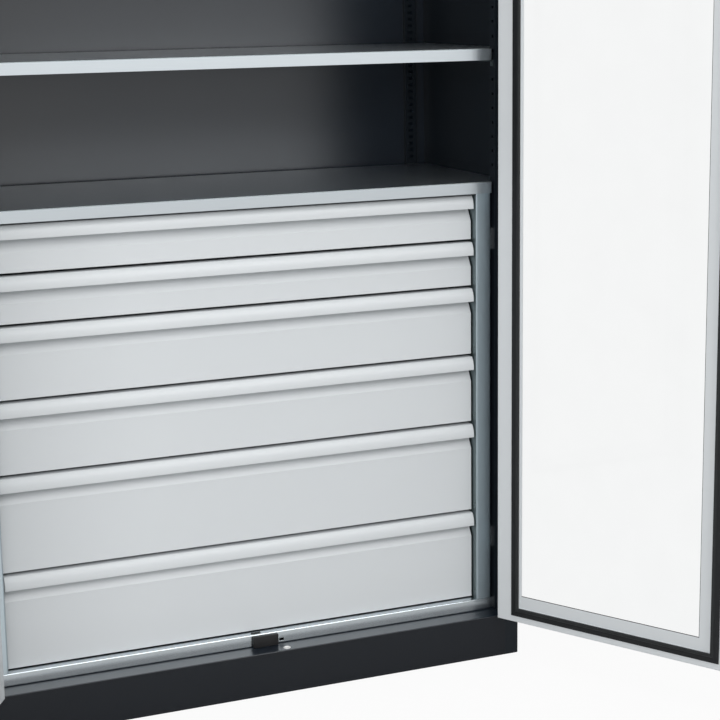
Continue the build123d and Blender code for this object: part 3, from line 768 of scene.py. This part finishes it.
def strip_shape():
    """The part of the strip that shows round the window of the closed right door."""
    pane_low, pane_high = shut_box("door_right_pane")
    hidden = PANE_HIDDEN * MM
    low = Vector((pane_low.x + hidden, pane_high.y, pane_low.z + hidden))
    high = Vector((pane_high.x - hidden, pane_high.y, pane_high.z - hidden))
    high += Vector((STRIP_TUCK, STRIP_RISE, 0)) * MM
    shape = bmesh.new()
    frame_of_boxes(shape, low, high, STRIP_WIDTH * MM, STRIP_EDGE * MM)
    return shape


for side in ("left", "right"):
    add_piece(f"glazing_strip_{side}", strip_shape(), (RUBBER,), f"door_{side}",
              place=open_place(side))

# %% [markdown]
# The turning handle is what the hand holds, so it has no flat anywhere. Its grip is a row
# of rounded sections along its length, each a little smaller towards the ends, joined by
# faces: this is how a loft works. The sections are superellipses, which lie between an
# ellipse and a rectangle.

# %% Turning handle
HANDLE_SECTIONS = 21
HANDLE_POINTS = 28
HANDLE_CURVE = 3.2
HANDLE_THICK = 20
END_CURVE = 5.0
END_SHARE = 0.02
WAIST = 0.12
NECK_BORE = 6
NECK_PROFILE = [(11.5, -2), (9.8, 12), (10.5, 17.5), (12, 20.5), (NECK_BORE, 20.7)]
BARREL_PROFILE = [(8.6, -3), (8.6, 0.6), (8.1, 1.1), (6.8, 1.1), (6.5, 0.8), (1.2, 0.8), (1.2, -2)]
BARREL_SUNK = 1.2
KEY_SLOT_HALF = Vector((0.7, 0, 3.8))
KEY_SLOT_FRONT = 0.25
KEY_SLOT_BACK = 1.9
KEY_SLOT_EDGE = 0.1


def super_point(angle, half_a, half_b, power):
    """A point on a superellipse."""
    a, b = math.cos(angle), math.sin(angle)
    across = half_a * math.copysign(abs(a) ** (2 / power), a)
    return across, half_b * math.copysign(abs(b) ** (2 / power), b)


def handle_sizes():
    """Middle, half length, half width and half thickness of the grip on the shut door."""
    low, high = shut_box("turning_handle")
    depth = HANDLE_THICK * MM
    middle = Vector(((low.x + high.x) / 2, low.y + depth / 2, (low.z + high.z) / 2))
    return middle, (high.x - low.x) / 2, (high.z - low.z) / 2, depth / 2


def handle_shape():
    """The grip as a row of sections from end to end, and the neck that carries it."""
    middle, half_length, half_width, half_depth = handle_sizes()
    shape = bmesh.new()
    rings = []
    for n in range(HANDLE_SECTIONS):
        angle = math.pi * n / (HANDLE_SECTIONS - 1)
        along, share = super_point(angle, half_length, 1.0, END_CURVE)
        share = max(share, END_SHARE)
        waist = 1 - WAIST * math.cos(math.pi * along / half_length / 2) ** 2
        wide, deep = half_width * share * waist, half_depth * share
        ring = []
        for k in range(HANDLE_POINTS):
            z, y = super_point(2 * math.pi * k / HANDLE_POINTS, wide, deep, HANDLE_CURVE)
            ring.append(shape.verts.new(middle + Vector((along, y, z))))
        rings.append(ring)
    for low, high in zip(rings, rings[1:]):
        for k in range(HANDLE_POINTS):
            m = (k + 1) % HANDLE_POINTS
            shape.faces.new((low[k], low[m], high[m], high[k]))
    for ring in (rings[0], rings[-1]):
        shape.faces.new(ring)
    foot = shut_box("turning_handle")[1].y - middle.y
    neck = in_metres(NECK_PROFILE) + [(NECK_BORE * MM, foot)]
    turned(shape, neck, facing(middle, (0, 1, 0)))
    return shape


def lock_barrel_shape():
    """Lock cylinder in the grip, with a slot for the key."""
    middle, _, _, half_depth = handle_sizes()
    shape = bmesh.new()
    face = middle + Vector((0, -half_depth + BARREL_SUNK * MM, 0))
    turned(shape, in_metres(BARREL_PROFILE), facing(face, (0, -1, 0)), steps=40)
    return shape


def key_slot_shade_shape():
    """A slim bar that fills the slot, a little inside the face of the lock cylinder; its black is painted shade
    for the slot's dark opening.
    """
    middle, _, _, half_depth = handle_sizes()
    face = middle + Vector((0, -half_depth, 0))
    low = face - KEY_SLOT_HALF * MM + Vector((0, KEY_SLOT_FRONT * MM, 0))
    high = face + KEY_SLOT_HALF * MM + Vector((0, KEY_SLOT_BACK * MM, 0))
    shape = bmesh.new()
    soft_box(shape, low, high, KEY_SLOT_EDGE * MM)
    return shape


DOOR_PLACE = open_place("right")
smooth(add_piece("handle_grip", handle_shape(), (BLACK_PLASTIC,), "handle",
                 ["turning_handle"], DOOR_PLACE))
smooth(add_piece("lock_cylinder", lock_barrel_shape(), (ZINC,), "handle",
                 place=DOOR_PLACE))
# Painted shade: the black bar stands for the dark opening of the key slot.
add_piece("key_slot_shade", key_slot_shade_shape(), (BLACK_PLASTIC,), "handle", place=DOOR_PLACE)

# %% [markdown]
# Behind the handle sits a round rosette with a domed edge. Two screws hold it to the door,
# one above and one below the neck, where the hand can't cover them.

# %% Rosette and its screws
DOME = ((0, 0.45), (0.5, 0.75), (1.6, 0.95), (3, 1))
ROSETTE_LIP = 12.5
ROSETTE_BORE = 6.3
SCREW_FROM_MIDDLE = 18.5
SCREW_RADIUS = 3.2
SCREW_SEAT = 0.6
HEAD_HEIGHT = 0.55
HEAD_CURVE = ((1, 0), (0.98, 0.3), (0.85, 0.75), (0.62, 1))
SOCKET_ACROSS = 0.9
SOCKET_FLOOR = 0.35


def rosette_shape():
    """A disc with a domed edge, and a bore that the neck turns in."""
    low, high = shut_box("handle_rosette")
    middle = (low + high) / 2
    radius, thick = (high.z - low.z) / 2, high.y - low.y
    shape = bmesh.new()
    lip, bore = ROSETTE_LIP * MM, ROSETTE_BORE * MM
    profile = [(radius, 0)] + [(radius - step * MM, thick * share) for step, share in DOME]
    profile += [(lip, thick), (bore, thick * 0.9), (bore, 0)]
    turned(shape, profile, facing((middle.x, high.y, middle.z), (0, -1, 0)), steps=64)
    return shape


def hexagon(across):
    """Radius of a six-sided socket with that size across its flats."""
    def radius(angle):
        return across / 2 / math.cos((angle % (math.pi / 3)) - math.pi / 6)
    return radius


def button_head(shape, place, direction, radius):
    """A button-head screw with a six-sided socket, in proportion to its radius."""
    tall = radius * HEAD_HEIGHT
    socket = hexagon(radius * SOCKET_ACROSS)
    profile = [(radius * wide, tall * high) for wide, high in HEAD_CURVE]
    profile += [(socket, tall), (socket, tall * SOCKET_FLOOR)]
    turned(shape, profile, facing(place, direction), steps=24)


def rosette_screws():
    """One screw above the neck and one below it."""
    low, high = shut_box("handle_rosette")
    middle = (low + high) / 2
    shape = bmesh.new()
    for step in (-SCREW_FROM_MIDDLE, SCREW_FROM_MIDDLE):
        place = (middle.x, low.y + SCREW_SEAT * MM, middle.z + step * MM)
        button_head(shape, place, (0, -1, 0), SCREW_RADIUS * MM)
    return shape


smooth(add_piece("rosette", rosette_shape(), (BLACK_PLASTIC,), "door_right",
                 ["handle_rosette"], DOOR_PLACE))
smooth(add_piece("rosette_screws", rosette_screws(), (ZINC,), "door_right",
                 place=DOOR_PLACE))

# %% [markdown]
# The floor and the background are plain white. A real studio gets there with a lot of
# light, but more light would wash out the cabinet too. Light Path tells a shader which
# kind of ray is asking. Rays from the camera, and those that come through a pane, see
# white. Mirrored rays see a white sky too, but hardly any of the floor's white. The rays
# that light the cabinet see plain grey paint and a dimmer sky. The floor mixes its white
# with that paint, so it still shows the cabinet's shadow.

# %% Floor and background
FLOOR_SIZE = 14.0
SKY_LIGHT = 0.42
FLOOR_WHITE = 0.94
FLOOR_IN_METAL = 0.15
FLECK_CELLS = 40
WHITE = (1, 1, 1, 1)


def seen_rays(paint):
    """1 for rays straight to the camera or through a pane, and 1 for mirrored rays."""
    kinds = [paint.node("LightPath", out=name) for name in
             ("Is Camera Ray", "Is Transmission Ray", "Is Glossy Ray")]
    return kinds[0] + kinds[1], kinds[2]


def floor_paint():
    """Grey paint that the lamps light, with plain white over it for the rays that see it."""
    paint = Paint("studio floor")
    fleck = paint.noise(FLECK_CELLS, 2.0)
    grey = paint.mix(fleck, rgb(205, 205, 205), rgb(211, 211, 211))
    matt = paint.node("BsdfDiffuse", None, {"Color": grey})
    white = paint.node("Emission", None, {"Color": WHITE, "Strength": 1.0})
    direct, mirrored = seen_rays(paint)
    share = direct * FLOOR_WHITE + mirrored * FLOOR_IN_METAL
    both = paint.node("MixShader", None, {0: share, 1: matt, 2: white})
    paint.node("OutputMaterial", None, {"Surface": both})
    return paint.material


def white_sky():
    """A sky that looks white but lights the cabinet more weakly."""
    world = bpy.data.worlds.new("studio")
    world.use_nodes = True
    bpy.context.scene.world = world
    paint = Paint("sky", world.node_tree)
    dim = paint.node("Background", None, {"Color": WHITE, "Strength": SKY_LIGHT})
    white = paint.node("Background", None, {"Color": WHITE, "Strength": 1.0})
    direct, mirrored = seen_rays(paint)
    both = paint.node("MixShader", None, {0: direct + mirrored, 1: dim, 2: white})
    paint.node("OutputWorld", None, {"Surface": both})


bpy.ops.mesh.primitive_plane_add(size=FLOOR_SIZE)
floor = bpy.context.object
floor.name = "floor"
floor.data.materials.append(floor_paint())
white_sky()
print("floor", FLOOR_SIZE, "m wide, sky at", SKY_LIGHT)

# %% [markdown]
# Three large, soft lamps stand in for a studio: the key light low on the left, a weaker
# fill high on the right, and a wide one overhead. Big lamps give soft shadows. Paint and
# zinc mirror only the fill: it draws the lines of light on the grips and on the rail's
# upper bend, and the glow on the back wall. Its size decides how broad they are.

# %% Lamps
TARGET = Vector((0.1, 0.0, 0.9))
MIRRORED_LAMP = "fill"
LAMPS = (
    ("key", (-2.4, -4.0, 1.7), 2.6, 94),
    ("fill", (1.3, -3.5, 3.3), 2.2, 51),
    ("overhead", (-0.2, -0.6, 4.2), 3.0, 24),
)


def soft_lamp(name, place, size, watts):
    """A square area lamp that faces the middle of the cabinet and is itself out of sight."""
    data = bpy.data.lights.new(name, "AREA")
    data.shape = "SQUARE"
    data.size = size
    data.energy = watts
    lamp = bpy.data.objects.new(name, data)
    bpy.context.collection.objects.link(lamp)
    lamp.location = place
    lamp.rotation_euler = (TARGET - Vector(place)).to_track_quat("-Z", "Y").to_euler()
    lamp.visible_camera = False
    lamp.visible_transmission = False
    lamp.visible_glossy = name == MIRRORED_LAMP
    return lamp


for settings in LAMPS:
    print("lamp", soft_lamp(*settings).name)

# %% [markdown]
# The camera stands left of the middle, a little over three metres in front of the
# cabinet, and looks at its lower right part: drawers, open shelf and glazed door. Its
# place, angles and focal length were fitted by least squares to lines measured in the
# picture. A small downward shift keeps the uprights nearly upright.

# %% Camera
CAMERA_PLACE = Vector((-1.13019, -3.53861, 1.45475))
YAW, PITCH, ROLL = (math.radians(a) for a in (22.475, 10.8399, -0.8068))
LENS = 87.971
SENSOR = 36
SHIFT = -0.05

camera_data = bpy.data.cameras.new("camera")
camera_data.lens = LENS
camera_data.sensor_width = SENSOR
camera_data.shift_y = SHIFT
camera = bpy.data.objects.new("camera", camera_data)
bpy.context.collection.objects.link(camera)
turn = Matrix.Rotation(-YAW, 4, "Z") @ Matrix.Rotation(math.pi / 2 - PITCH, 4, "X")
camera.matrix_world = Matrix.Translation(CAMERA_PLACE) @ turn @ Matrix.Rotation(ROLL, 4, "Z")
bpy.context.scene.camera = camera
bpy.context.scene.view_settings.view_transform = "Standard"
print("lens", LENS, "mm, shift", SHIFT)
